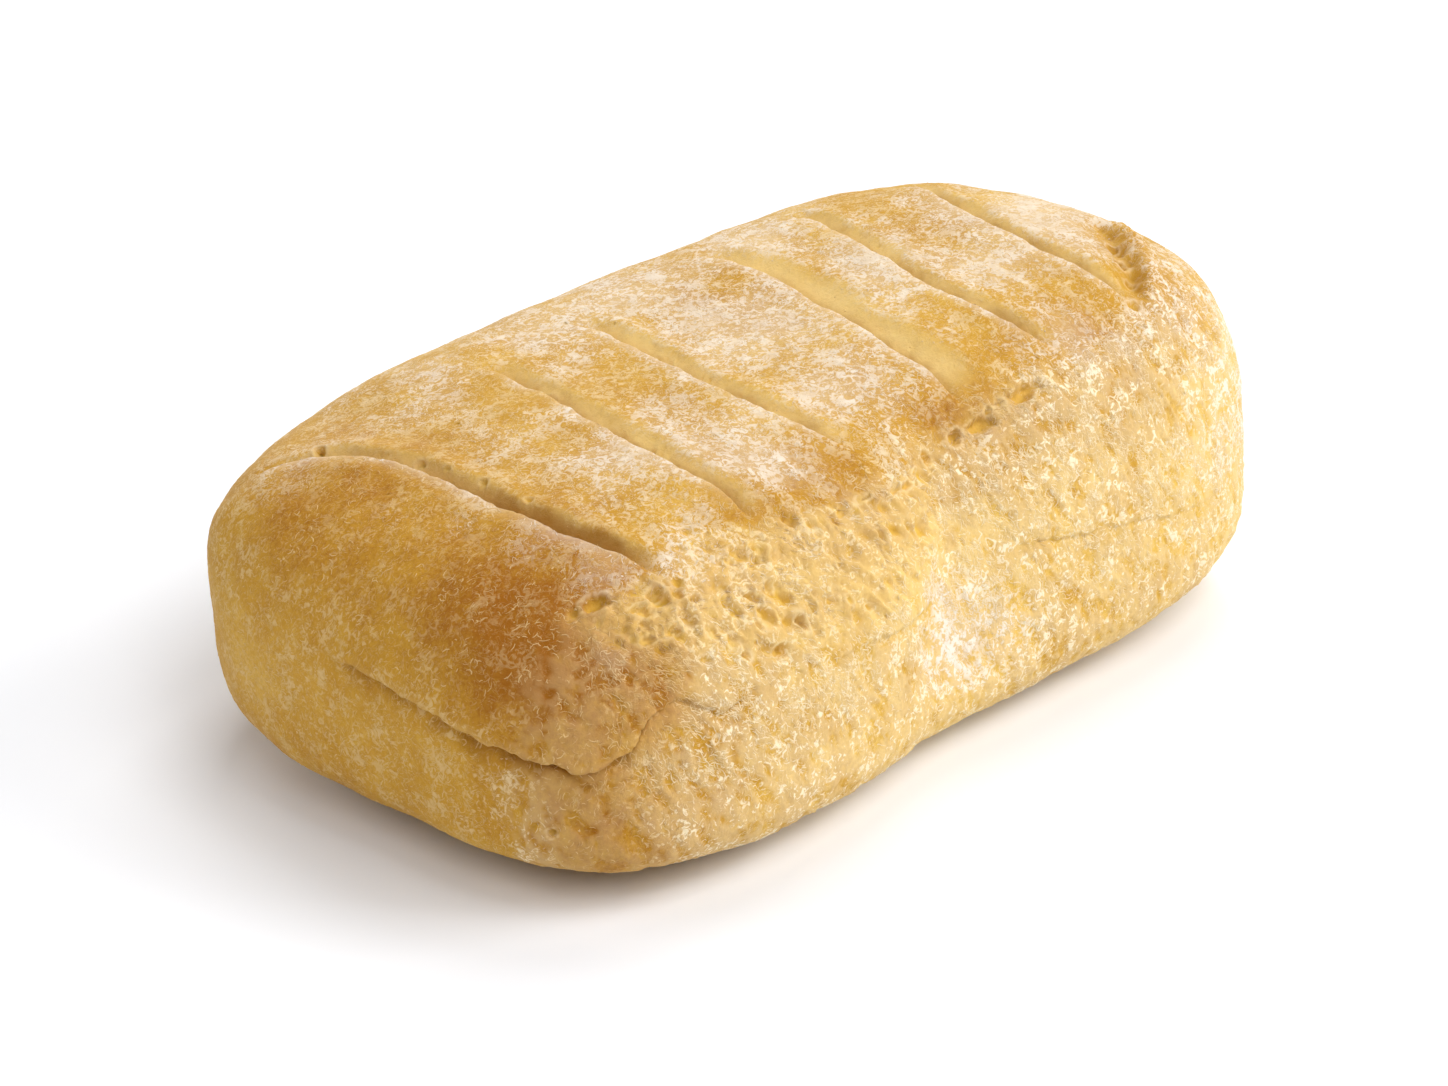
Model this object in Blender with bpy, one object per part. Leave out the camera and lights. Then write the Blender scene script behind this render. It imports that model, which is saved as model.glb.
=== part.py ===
"""A short, squat white loaf, scored across its top with six slanting cuts, as one closed solid.

Metres, +Z up. The origin is under the middle of the loaf, on the surface that it rests on.
+X runs along the loaf to its taller, narrower end. The side at -Y is the one that is pinched and torn.

The loaf starts as a cube divided into a grid. Each grid point is moved out to a rounded box, which is
then tapered, bent, leant, pinched at its waist and folded by formulas. Wedges swept along the cuts'
lines and a row of small ovals are taken away from it.
"""

import math

import bmesh
import bpy
import numpy as np

MM = 0.001

# The rounded box
HALF_LENGTH = 110.0 * MM
HALF_WIDTH = 62.5 * MM
CROWN_HEIGHT = 71.7 * MM  # the top at the middle of the length
BELLY_HEIGHT = 21.2 * MM  # where the sides stand out furthest
FOOT_REACH = 1.12  # depth of the rounding below the belly, as a share of BELLY_HEIGHT: the rest is flat
PLAN_POWER = 3.43  # 2 is an ellipse, more is squarer
SIDE_POWER = 3.7
FOOT_POWER = 2.93

# How the box is changed along its length: the first share is from the middle to the +X end
WIDTH_TAPER = -0.090
WIDTH_SWELL = 0.087  # both ends are wider than the middle by this share
HEIGHT_TAPER = 0.172
HEIGHT_SWELL = 0.129  # both ends stay this much fuller
BEND = -4.5 * MM  # both ends lie this far towards -Y
LEAN = 0.157  # sideways shift towards +Y for each metre of height over the belly
SKEW = -0.070

# The pinch down the -Y side
WAIST_DEPTH = 3.2 * MM
WAIST_HALF_WIDTH = 11.0 * MM
WAIST_LINE = ((-12.0 * MM, 12.0 * MM), (-7.0 * MM, 36.0 * MM), (5.0 * MM, 62.0 * MM))  # x, height
WAIST_START = 30.0 * MM  # how far out towards -Y the pinch begins
WAIST_RUN = 24.0 * MM  # how much further out it is at its full depth

# Folds, where the upper dough hangs over the band below it: (x, y, height) along each
END_FOLD = (
    (-108.9, -5.0, 38.8),
    (-108.4, -15.8, 37.6),
    (-106.1, -32.5, 35.1),
    (-100.3, -47.1, 32.3),
    (-91.0, -55.0, 31.5),
)
LEFT_FOLD = ((-79.0, -58.5, 40.5), (-63.8, -62.0, 38.5), (-38.2, -62.4, 36.5), (-14.0, -61.0, 35.5))
RIGHT_FOLD = ((10.9, -58.9, 40.1), (38.4, -59.4, 35.7), (73.5, -58.2, 30.2))
FOLD_BULGE = 1.6 * MM
FOLD_CREASE = 1.4 * MM
FOLD_REACH = 7.0 * MM
CREASE_DROP = 0.35  # how far under a fold's line its crease is deepest, as a share of FOLD_REACH
CREASE_SPREAD = 0.55
FOLD_FADE = math.radians(9)  # how far round the loaf a fold takes to die away past its ends

# Cuts: x where each crosses the stations below, y of its two ends, depth, and run of its floor
CUT_STATIONS = (30.0 * MM, 5.0 * MM, -20.0 * MM, -40.0 * MM)
CUTS = (
    ((-86.0, -81.2, -80.2, -75.0), (38.0, -45.0), 6.5, 10.0),
    ((-46.0, -47.9, -50.2, -48.6), (33.0, -45.0), 4.2, 10.0),
    ((-20.0, -21.8, -23.0, -17.6), (34.0, -39.0), 3.2, 9.0),
    ((18.8, 16.7, 12.2, 13.6), (39.0, -41.0), 4.4, 12.0),
    ((45.2, 39.6, 34.9, 39.4), (39.0, -42.0), 3.4, 10.0),
    ((73.8, 67.4, 62.6, 66.6), (30.0, -41.0), 3.8, 11.0),
)
CUT_STEPS = 18
CUT_CLEAR = 4.0 * MM  # how far a wedge stands up out of the loaf
CUT_END_SHARE = 0.15  # the share of its depth and run that a cut keeps at its ends
FLOOR_END_CLEAR = 0.8 * MM  # how far the far end of a cut's floor stands out of the loaf
TOP_ROUNDS = 8
PLAN_LIMIT = 0.99  # how near the rim of the rounded box the top is still read

# Pits along the tear that runs below the cuts' ends: (x, y, height), half length
PITS = (
    ((28.5, -46.0, 64.9), 6.5),
    ((15.4, -48.0, 62.0), 4.0),
    ((4.5, -50.0, 59.6), 3.0),
    ((-72.0, -47.0, 56.5), 3.4),
    ((-81.5, -43.5, 56.0), 4.2),
)
PIT_WIDTH = 0.45  # half width as a share of half length
PIT_DIRECTION = math.radians(-12)
PIT_SEGMENTS = 12
PIT_RINGS = 8

# Cells of the grid
COLUMNS = 40
ROWS = 24
LAYERS = 13
TINY = 1.0e-4


def clear_scene():
    for old in list(bpy.data.objects):
        bpy.data.objects.remove(old, do_unlink=True)


def new_collection(name):
    group = bpy.data.collections.new(name)
    bpy.context.scene.collection.children.link(group)
    return group


def crust_material():
    """Pale golden crust, matt and a little floury."""
    crust = bpy.data.materials.new("crust")
    crust.use_nodes = True
    shader = crust.node_tree.nodes["Principled BSDF"]
    shader.inputs["Base Color"].default_value = (0.72, 0.50, 0.22, 1.0)
    shader.inputs["Roughness"].default_value = 0.75
    shader.inputs["Metallic"].default_value = 0.0
    return crust


def smooth_step(t):
    """0 below 0, 1 above 1, and a smooth rise between."""
    t = np.clip(t, 0.0, 1.0)
    return t * t * (3.0 - 2.0 * t)


def cut_along(shape, axis, cells):
    """Divides every edge of a cube that runs along an axis into that many cells."""
    along = [e for e in shape.edges if abs(e.verts[0].co[axis] - e.verts[1].co[axis]) > TINY]
    bmesh.ops.subdivide_edges(shape, edges=along, cuts=cells - 1, use_grid_fill=True)


def vary_along(points):
    """Tapers, swells, bends, leans and skews points of the plain rounded box."""
    x, y, z = points.T
    s = x / HALF_LENGTH
    width = 1.0 + WIDTH_TAPER * s + WIDTH_SWELL * s * s
    height = 1.0 + HEIGHT_TAPER * s + HEIGHT_SWELL * s * s
    return np.column_stack((x + SKEW * y, y * width + BEND * s * s + LEAN * (z - BELLY_HEIGHT), z * height))


def rounded_box(cube):
    """Moves points on a cube from -1 to 1 along rays from its middle to a rounded box with a flat foot."""
    upper = CROWN_HEIGHT - BELLY_HEIGHT
    lower = FOOT_REACH * BELLY_HEIGHT
    ray = np.tan(cube * math.pi / 4.0)
    plan = (np.abs(ray[:, 0]) ** PLAN_POWER + np.abs(ray[:, 1]) ** PLAN_POWER) ** (1.0 / PLAN_POWER)
    rise = ray[:, 2]
    above = (plan**SIDE_POWER + np.abs(rise) ** SIDE_POWER) ** (1.0 / SIDE_POWER)
    below = (plan**FOOT_POWER + np.abs(rise * upper / lower) ** FOOT_POWER) ** (1.0 / FOOT_POWER)
    reach = np.where(rise > 0.0, above, below)
    points = ray * (HALF_LENGTH, HALF_WIDTH, upper) / reach[:, None]
    points[:, 2] = np.maximum(points[:, 2] + BELLY_HEIGHT, 0.0)
    return vary_along(points)


def top_points(x, y):
    """Points on the uncut top straight over places x, y.

    The plain rounded box gives the height over a place before it is varied along its length, which
    shifts the place a little, so the place is corrected by what is left over a few times.
    """
    plain_x = x.copy()
    plain_y = y.copy()
    for _ in range(TOP_ROUNDS):
        across = np.abs(plain_x / HALF_LENGTH) ** PLAN_POWER + np.abs(plain_y / HALF_WIDTH) ** PLAN_POWER
        plan = np.minimum(across ** (1.0 / PLAN_POWER), PLAN_LIMIT)
        rise = (1.0 - plan**SIDE_POWER) ** (1.0 / SIDE_POWER)
        height = BELLY_HEIGHT + (CROWN_HEIGHT - BELLY_HEIGHT) * rise
        points = vary_along(np.column_stack((plain_x, plain_y, height)))
        plain_x += x - points[:, 0]
        plain_y += y - points[:, 1]
    return points


def pinch_waist(points):
    """Draws the -Y side in along a nearly upright line."""
    x, y, z = points.T
    line_x, line_z = np.array(WAIST_LINE).T
    off_line = (x - np.interp(z, line_z, line_x)) / WAIST_HALF_WIDTH
    side = smooth_step((-y - WAIST_START) / WAIST_RUN)
    points[:, 1] += WAIST_DEPTH * np.exp(-off_line * off_line) * side


def around(x, y):
    """Angle round the loaf of a place seen from above."""
    return np.arctan2(y / HALF_WIDTH, x / HALF_LENGTH)


def add_fold(points, fold):
    """Swells the dough above a fold's line and sinks it just below, along the outward direction in plan."""
    x, y, z = points.T
    line = np.array(fold) * MM
    angle = around(line[:, 0], line[:, 1])
    here = around(x, y)
    over = (z - np.interp(here, angle, line[:, 2])) / FOLD_REACH
    ends = smooth_step((here - angle[0]) / FOLD_FADE + 1.0)
    ends *= smooth_step((angle[-1] - here) / FOLD_FADE + 1.0)
    bulge = FOLD_BULGE * np.where(over > 0.0, over * np.exp(1.0 - over), 0.0)
    crease = FOLD_CREASE * np.exp(-(((over + CREASE_DROP) / CREASE_SPREAD) ** 2))
    out = np.column_stack((x / HALF_LENGTH**2, y / HALF_WIDTH**2))
    out /= np.linalg.norm(out, axis=1)[:, None] + TINY * TINY
    foot = smooth_step(z / BELLY_HEIGHT)
    points[:, :2] += out * ((bulge - crease) * ends * foot)[:, None]


def loaf_body(parts, crust):
    """The uncut loaf: a gridded cube reshaped by the formulas above, its flat foot made one face."""
    shape = bmesh.new()
    bmesh.ops.create_cube(shape, size=2.0)
    for axis, cells in enumerate((COLUMNS, ROWS, LAYERS)):
        cut_along(shape, axis, cells)
    points = rounded_box(np.array([v.co[:] for v in shape.verts]))
    pinch_waist(points)
    for fold in (END_FOLD, LEFT_FOLD, RIGHT_FOLD):
        add_fold(points, fold)
    points[:, :2] -= (points[:, :2].min(axis=0) + points[:, :2].max(axis=0)) / 2.0
    for vertex, place in zip(shape.verts, points):
        vertex.co = place
    foot = [f for f in shape.faces if all(v.co.z == 0.0 for v in f.verts)]
    bmesh.ops.dissolve_faces(shape, faces=foot, use_verts=True)
    mesh = bpy.data.meshes.new("loaf")
    shape.to_mesh(mesh)
    shape.free()
    mesh.shade_smooth()
    mesh.materials.append(crust)
    loaf = bpy.data.objects.new("loaf", mesh)
    parts.objects.link(loaf)
    return loaf


def add_cutter(loaf, cutters, name, shape):
    """Turns a closed shape into a hidden cutter and takes it away from the loaf."""
    mesh = bpy.data.meshes.new(name)
    shape.to_mesh(mesh)
    shape.free()
    cutter = bpy.data.objects.new(name, mesh)
    cutter.hide_render = True
    cutter.display_type = "WIRE"
    cutters.objects.link(cutter)
    cut = loaf.modifiers.new(name, "BOOLEAN")
    cut.operation = "DIFFERENCE"
    cut.solver = "EXACT"
    cut.object = cutter


def cut_wedge(cut):
    """A wedge swept along one cut: steep on its -X side, with a floor that rises towards +X.

    It is a cube gridded along y. Its four corners, seen along the cut, are the foot of the steep wall,
    the far end of the floor, and the two points straight over them, clear of the loaf.
    """
    crossings, ends, depth, run = cut
    line = np.polyfit(CUT_STATIONS, np.array(crossings) * MM, 3)
    shape = bmesh.new()
    bmesh.ops.create_cube(shape, size=2.0)
    cut_along(shape, 1, CUT_STEPS)
    place = np.array([v.co[:] for v in shape.verts])
    y = (ends[1] + (place[:, 1] + 1.0) / 2.0 * (ends[0] - ends[1])) * MM
    opening = CUT_END_SHARE + (1.0 - CUT_END_SHARE) * np.sqrt(1.0 - place[:, 1] ** 4)
    floor_end = place[:, 0] > 0.0
    x = np.polyval(line, y) + np.where(floor_end, run * opening * MM, 0.0)
    points = top_points(x, y)
    bottom = np.where(floor_end, FLOOR_END_CLEAR, -depth * opening * MM)
    points[:, 2] += np.where(place[:, 2] > 0.0, CUT_CLEAR, bottom)
    for vertex, target in zip(shape.verts, points):
        vertex.co = target
    return shape


def pit_oval(pit):
    """An oval whose middle is on the surface, along the tear."""
    centre, half_length = pit
    shape = bmesh.new()
    bmesh.ops.create_uvsphere(shape, u_segments=PIT_SEGMENTS, v_segments=PIT_RINGS, radius=half_length * MM)
    cosine = math.cos(PIT_DIRECTION)
    sine = math.sin(PIT_DIRECTION)
    for vertex in shape.verts:
        along, across, up = vertex.co
        across *= PIT_WIDTH
        vertex.co.x = centre[0] * MM + along * cosine - across * sine
        vertex.co.y = centre[1] * MM + along * sine + across * cosine
        vertex.co.z = centre[2] * MM + up * PIT_WIDTH
    return shape


def main():
    clear_scene()
    parts = new_collection("short_loaf")
    cutters = new_collection("cutters")
    loaf = loaf_body(parts, crust_material())
    for number, cut in enumerate(CUTS, start=1):
        add_cutter(loaf, cutters, f"cut_{number}", cut_wedge(cut))
    for number, pit in enumerate(PITS, start=1):
        add_cutter(loaf, cutters, f"pit_{number}", pit_oval(pit))


main()
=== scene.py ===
"""Looks of a short, squat white loaf: torn and floured crust, strands of dried dough, flour, plain studio.

Sizes in the shape's functions are millimetres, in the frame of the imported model. They become metres when
a mesh is made. +X runs along the loaf to its taller end, and -Y is the side that is torn and pinched.
"""

import math
from functools import partial

import bpy
import numpy as np
from bpy.props import FloatProperty, FloatVectorProperty, IntProperty, PointerProperty
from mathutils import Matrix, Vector


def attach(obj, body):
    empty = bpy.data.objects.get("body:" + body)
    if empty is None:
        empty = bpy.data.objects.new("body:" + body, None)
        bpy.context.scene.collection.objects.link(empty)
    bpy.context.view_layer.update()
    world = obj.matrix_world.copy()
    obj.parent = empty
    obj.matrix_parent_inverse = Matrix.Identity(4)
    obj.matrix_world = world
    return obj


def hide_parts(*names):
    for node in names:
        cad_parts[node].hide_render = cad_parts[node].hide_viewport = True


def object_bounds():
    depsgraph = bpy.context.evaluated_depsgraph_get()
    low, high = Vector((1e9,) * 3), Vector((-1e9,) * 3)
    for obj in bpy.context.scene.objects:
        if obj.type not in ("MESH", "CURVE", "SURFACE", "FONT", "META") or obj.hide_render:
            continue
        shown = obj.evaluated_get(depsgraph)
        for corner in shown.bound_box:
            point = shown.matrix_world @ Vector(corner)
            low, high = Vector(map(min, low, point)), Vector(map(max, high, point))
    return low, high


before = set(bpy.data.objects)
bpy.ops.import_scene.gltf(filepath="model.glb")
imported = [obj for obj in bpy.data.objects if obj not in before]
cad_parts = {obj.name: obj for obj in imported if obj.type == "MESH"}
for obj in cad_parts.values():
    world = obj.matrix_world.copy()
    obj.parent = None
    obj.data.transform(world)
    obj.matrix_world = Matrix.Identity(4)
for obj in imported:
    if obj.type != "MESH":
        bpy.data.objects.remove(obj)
CAD_LOW, CAD_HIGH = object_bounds()

bl_info = {
    "name": "Short Baguette Loaf",
    "version": (1, 0, 0),
    "blender": (4, 5, 0),
    "location": "View3D > Sidebar > Loaf",
    "description": "Builds the crust, dough strands and flour of a scored loaf round its packed solid",
    "category": "Object",
}

MM = 0.001
NODE = "loaf"
BODY = "root"

# The rounded box, as the solid has it
HALF_LENGTH = 110.0
HALF_WIDTH = 62.5
CROWN_HEIGHT = 71.7
HALF_HEIGHT = 0.62 * CROWN_HEIGHT  # what the rows of cells up the sides are counted from
BELLY_HEIGHT = 21.2
FOOT_REACH = 1.12
PLAN_POWER = 3.43
SIDE_POWER = 3.7
FOOT_POWER = 2.93
WIDTH_TAPER = -0.090
WIDTH_SWELL = 0.087
HEIGHT_TAPER = 0.172
HEIGHT_SWELL = 0.129
BEND = -4.5
LEAN = 0.157
SKEW = -0.070

# Broad swellings and hollows of hand-shaped dough: x, y, height, radius, rise
SWELLS = (
    (-12, 48, 66, 28, 1.5),
    (-46, 50, 62, 14, 0.6),
    (-76, 42, 62, 17, -1.9),
    (-101, 42, 50, 14, 1.3),
    (-110, 18, 28, 20, 1.1),
    (-106, 36, 44, 6, -0.9),
    (104, -42, 44, 24, 1),
    (92, 4, 77, 18, 0.9),
)

WAIST_LINE = ((-12, 12), (-7, 36), (5, 62))  # x, height

# Folds, where the upper dough hangs over the band below it: x, y, height and strength along each
FOLDS = (
    (
        (-109, -4, 38.5, 0.4),
        (-108.4, -15.8, 37.6, 0.8),
        (-106.1, -32.5, 35.1, 0.9),
        (-100.3, -47.1, 32.3, 1),
        (-94.7, -53.6, 31.1, 1),
        (-88.2, -57, 34, 0.8),
        (-84.5, -57, 39, 0.5),
        (-79, -58.5, 41.3, 0.35),
        (-70.9, -61.5, 36.5, 0.3),
        (-60, -62, 38, 0.12),
        (-38.2, -62.4, 36.5, 0.1),
        (-14, -61, 35.5, 0.35),
    ),
    (
        (8, -58.9, 37.5, 0.12),
        (16, -59, 39.6, 0.22),
        (28, -59.2, 37.2, 0.25),
        (38.4, -59.4, 35.7, 0.22),
        (52, -59, 33.4, 0.16),
        (73.5, -58.2, 30.2, 0.12),
    ),
)
FOLD_FADE = math.radians(6)

# Cuts: x at the four stations, y of both ends, depth, run and tornness of the floor, and how far past the lip
# the painted shade of the lip's shadow reaches
CUT_STATIONS = (30.0, 5.0, -20.0, -40.0)
CUTS = (
    ((-86, -81.2, -80.2, -75), (45, -46), 6.5, 6.8, 0.5, 5.8),
    ((-46, -47.9, -50.2, -48.6), (34, -46), 4.6, 7.2, 0.7, 4.9),
    ((-20, -21.8, -23, -17.6), (35, -40), 3.6, 6.4, 1, 4.2),
    ((18.8, 16.7, 12.2, 13.6), (40, -42), 4.6, 10, 0.35, 5.4),
    ((45.2, 39.6, 34.9, 39.4), (40, -43), 3.6, 6, 0.7, 4.3),
    ((73.8, 67.4, 62.6, 66.6), (32, -41), 4.4, 6.2, 0.4, 4.8),
)

# The torn patch high on the -Y side, between two outlines (x, height)
TORN_TOP = ((-90, 55), (-78, 58), (-58, 61.5), (-37, 60.5), (-18, 59), (4, 60))
TORN_FOOT = (
    (-90, 52), (-84, 49), (-72, 45), (-56, 39.7), (-32, 37), (-10, 41), (4, 56)
)
TEAR_LINE = ((-28, 55.5), (-9, 57.8), (10, 61), (27, 64.6), (40, 66.5))  # x, height
FIBRE = np.array((0.50, 0.0, -0.866))  # the way the dough was pulled on the -Y side

# Pits in the -Y side: x, height, half length, half width, depth, slant of the long way in degrees
SIDE_PITS = (
    (29.2, 64.6, 5.4, 1.9, 3.2, 14),
    (22.6, 63.9, 1.2, 0.9, 1.2, 10),
    (19.6, 63.2, 1.3, 0.9, 1.3, 10),
    (16.6, 61.3, 4.4, 2, 3, 12),
    (9.2, 60.1, 2.6, 1.6, 2.4, 30),
    (0.6, 58.5, 1.9, 1.6, 2.4, 60),
    (-4.5, 58, 1.4, 0.8, 1.4, 20),
    (-8.8, 57.4, 1.9, 1, 1.8, 10),
    (-13.4, 58, 2.2, 1.1, 1.9, 5),
    (-22.6, 59, 2.6, 0.8, 1.6, 0),
    (-84.3, 56.2, 4.3, 1.7, 3, -12),
    (-78.6, 54.6, 2.6, 1.3, 2.2, -25),
    (-73.8, 55.8, 1.7, 1.6, 2.2, 0),
    (-68.3, 54.4, 1.5, 1.2, 1.4, -30),
    (-75.5, 51.5, 3, 1.1, 1.9, -8),
    (-80.8, 50.9, 2.6, 1, 1.5, -5),
    (-57.3, 58, 1.9, 1.2, 1.9, -50),
    (-57, 52, 2.1, 1.2, 2, -55),
    (-48.5, 45.6, 2.4, 1.1, 2.3, -72),
    (-54.8, 42.9, 1.9, 1.6, 2.3, -30),
    (-68.5, 50, 2, 1.1, 1.7, -50),
    (-64.9, 47.4, 2.1, 1.2, 1.8, -55),
    (-63.5, 44.4, 1.6, 1.1, 1.6, -40),
    (-58.1, 48.2, 1.7, 1, 1.6, -55),
    (-52.2, 52.2, 1.5, 0.9, 1.3, -60),
    (-36.2, 46, 1.3, 0.8, 1.1, -60),
    (-31.1, 42.8, 1.5, 0.9, 1.2, -20),
    (-72, 46.2, 1.9, 0.9, 1.3, -20),
    (-100.5, 18.6, 2.1, 0.9, 1.7, -6),
)
# Pits in the top: x, y, half length, half width, depth, turn of the long way in degrees from +X
TOP_PITS = (
    (-44.2, 21, 3.6, 2, 2.2, 80),
    (-44.4, 14, 2.6, 1.9, 2, 95),
    (-45.5, 6, 1.9, 1.3, 1.4, 90),
    (-83.5, 36, 2.6, 1.3, 2.8, 70),
    (-81.2, 29, 1.2, 0.8, 1.5, 80),
    (-79, 20.5, 1, 0.7, 1.3, 60),
    (-77.2, 12.5, 1.6, 0.9, 1.6, 75),
    (-76.6, 6, 1.1, 0.8, 1.4, 90),
    (-75.6, -4, 1.5, 0.8, 1.4, 80),
    (-75.2, -16, 1.2, 0.7, 1.3, 90),
    (82, -23.9, 2, 1.6, 1.8, 60),
    (77.2, -30.6, 2.2, 2, 2.8, 0),
    (74.6, -35.4, 1.6, 1.4, 1.4, -60),
    (67.8, -42, 2, 1.5, 1.8, -50),
)
# The puckered hollow round the end of the last cut, seen from above: x, y
PUCKER = (
    (90.5, -11), (88, -17.5), (84.5, -23.5), (80.8, -28.5), (77.5, -33.2), (73.6, -37.4), (68, -39.5)
)

# Places that are browner than the rest, or paler where the amount is negative: x, y, height, radius, amount.
# Round the -X end and its corner with -Y they are partly painted shade; the paler ones at the +X end and on
# the -X end are partly painted light
BAKE_LIGHT_AND_SHADE_SPOTS = (
    (-90, -44, 51, 14, 0.29),
    (-97, -28, 54, 17, 0.22),
    (-98, -48, 43, 12, 0.16),
    (-86, -54, 44, 9, 0.15),
    (-99, 20, 55, 18, 0.12),
    (-76, -22, 62, 12, 0.12),
    (-44, -44, 61, 10, 0.22),
    (-21, -45, 62, 12, 0.26),
    (7, -41, 66, 9, 0.20),
    (24, -42, 68, 10, 0.18),
    (50, -40, 71, 10, 0.12),
    (74, -42, 71, 11, 0.16),
    (84, -24, 78, 7, 0.14),
    (62, 8, 79, 22, 0.04),
    (92, 0, 78, 18, -0.20),
    (98, -36, 62, 18, -0.22),
    (100, -52, 42, 22, -0.10),
    (-92, -57, 22, 15, 0.16),
    (-108, 26, 36, 24, -0.22),
    (40, -8, 77, 24, -0.08),
    (12, 22, 73, 12, 0.10),
    (-55, -8, 66, 14, 0.12),
    (-64, -27, 64, 12, -0.10),
    (76, -57, 38, 22, -0.12),
    (-108, -26, 26, 18, -0.08),
)
# The first spots, round the corner of the -X end, also keep less flour, which darkens them: partly painted
# shade
BARE_SPOTS = 4  # the first of them have lost their flour too
# Places with more flour: x, y, height, radius, amount
FLOURED = (
    (-1.4, 4, 71.5, 17, 0.55),
    (-4, -26, 69, 12, 0.30),
    (-40, -18, 67.5, 14, 0.35),
    (-36, -36, 65, 8, 0.35),
    (-25, 32, 69, 12, 0.35),
    (-4, 39, 70, 14, 0.40),
    (40, 2, 77, 10, 0.50),
    (33, 33, 75.5, 14, 0.45),
    (53, -14, 78, 11, 0.35),
    (-53, 38, 66, 10, 0.35),
    (-80, -40, 58.5, 6, 0.40),
    (-84, -26, 60.5, 6, 0.32),
    (-87, -10, 60.5, 5, 0.28),
    (-92, 4, 58, 5, 0.25),
    (-63, -46, 59, 8, 0.30),
    (-6.9, -62.3, 26.3, 9, 0.75),
    (-8.2, -60.5, 36.8, 7, 0.45),
    (8, -62, 25, 13, 0.35),
    (47, -39.5, 71.5, 9, 0.30),
    (-90, 36, 59, 12, 0.35),
    (88, -4, 78, 15, 0.40),
    (76, -15, 79.5, 14, 0.45),
    (82, -42, 68, 14, 0.30),
    (32, -4, 76, 10, 0.20),
    (104, -44, 46, 20, 0.50),
    (-87, -50, 48, 5, 0.20),
    (66, 12, 79, 12, 0.25),
    (-60, -20, 65, 12, 0.25),
    (76, -57, 38, 20, 0.18),
)


def smooth_step(t):
    """0 below 0, 1 above 1, and a smooth rise between."""
    t = np.clip(t, 0.0, 1.0)
    return t * t * (3.0 - 2.0 * t)


def bell(t):
    """A bump of height 1 at 0 that has died away at 2."""
    return np.exp(-t * t)


def spots(points, places):
    """Soft round patches: each is a bell of its radius times its amount, added up."""
    total = np.zeros(len(points))
    for x, y, z, radius, amount in places:
        total += amount * bell(np.linalg.norm(points - (x, y, z), axis=1) / radius)
    return total


def rise(values, low, high):
    """A smooth rise from 0 at low to 1 at high, or a fall where low is the greater."""
    return smooth_step((values - low) / (high - low))


def height_over(points, line):
    """How far points are above a line of (x, height)."""
    line_x, line_z = np.array(line).T
    return points[:, 2] - np.interp(points[:, 0], line_x, line_z)


def raise_to(values, some, least):
    """Raises some of the values to at least those given."""
    values[some] = np.maximum(values[some], least)


# ---------------------------------------------------------------- noise

LATTICE = 64
LATTICE_DRAW = np.random.default_rng(11)
SLOPES = LATTICE_DRAW.normal(size=(LATTICE, LATTICE, LATTICE, 3)).astype(np.float32)
SLOPES /= np.linalg.norm(SLOPES, axis=-1, keepdims=True)
CHANCES = LATTICE_DRAW.random((LATTICE, LATTICE, LATTICE, 5)).astype(np.float32)
CORNERS = [(i, j, k) for i in (0, 1) for j in (0, 1) for k in (0, 1)]
NEIGHBOURS = [(i, j, k) for i in (-1, 0, 1) for j in (-1, 0, 1) for k in (-1, 0, 1)]


def noise(points, size, seed=0):
    """Gradient noise from about -1 to 1: random slopes at the corners of cells of a size, smoothly mixed."""
    place = (points / size + np.array((seed * 7.31, seed * 3.17, seed * 5.53))).astype(np.float32)
    cell = np.floor(place).astype(np.int64)
    inside = place - cell
    mix = inside**3 * (inside * (inside * 6.0 - 15.0) + 10.0)
    total = np.zeros(len(place), np.float32)
    for corner in CORNERS:
        index = (cell + corner) % LATTICE
        slope = SLOPES[index[:, 0], index[:, 1], index[:, 2]]
        climb = np.einsum("ij,ij->i", slope, inside - np.array(corner, np.float32))
        share = np.where(corner, mix, 1.0 - mix)
        total += climb * share[:, 0] * share[:, 1] * share[:, 2]
    return total * 1.6


def fractal(points, size, octaves, seed=0):
    """Noise of halving size and height, added up."""
    return sum(noise(points, size / 2**n, seed + n) / 2**n for n in range(octaves))


def pores(points, size, share, seed=0):
    """How far each point is from its nearest pore, as a share of the pore's radius, and that pore's radius.

    Cells of that size each hold a pore with the chance share, anywhere in the cell. Its radius is 0.22 to
    0.55 of the cell's size.
    """
    place = (points / size + np.array((seed * 5.71, seed * 9.13, seed * 2.37))).astype(np.float32)
    cell = np.floor(place).astype(np.int64)
    nearest = np.full(len(place), 9.0, np.float32)
    radius = np.zeros(len(place), np.float32)
    for step in NEIGHBOURS:
        here = cell + step
        index = here % LATTICE
        draw = CHANCES[index[:, 0], index[:, 1], index[:, 2]]
        own = 0.22 + 0.33 * draw[:, 3] ** 2
        gap = np.linalg.norm(here + draw[:, :3] - place, axis=1) / own
        gap[draw[:, 4] > share] = 9.0
        closer = gap < nearest
        nearest[closer] = gap[closer]
        radius[closer] = own[closer]
    return nearest, radius * size


def bowl(gap):
    """A pit 1 deep at its middle with steep sides, by distance as a share of its radius."""
    return 1.0 - smooth_step((gap - 0.35) / 0.65)


def rim(gap, radius):
    """The thin raised wall round a pit of that radius in mm."""
    return bell((gap - 1.10) * np.maximum(radius, 1.0) / 0.32)


def crests(points, size, seed=0):
    """A net of narrow crests of height 1 between rounded hollows, from noise folded at its middle value."""
    return 1.0 - 2.0 * np.abs(noise(points, size, seed))


def stretch(points, direction, share):
    """Points squeezed along a direction, so that what is drawn from them comes out longer that way."""
    return points - (points @ direction)[:, None] * direction * (1.0 - share)


def slanted(first, second, degrees):
    """Two offsets, turned so that the first of them runs along a slant."""
    c, s = math.cos(math.radians(degrees)), math.sin(math.radians(degrees))
    return first * c + second * s, second * c - first * s


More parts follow.
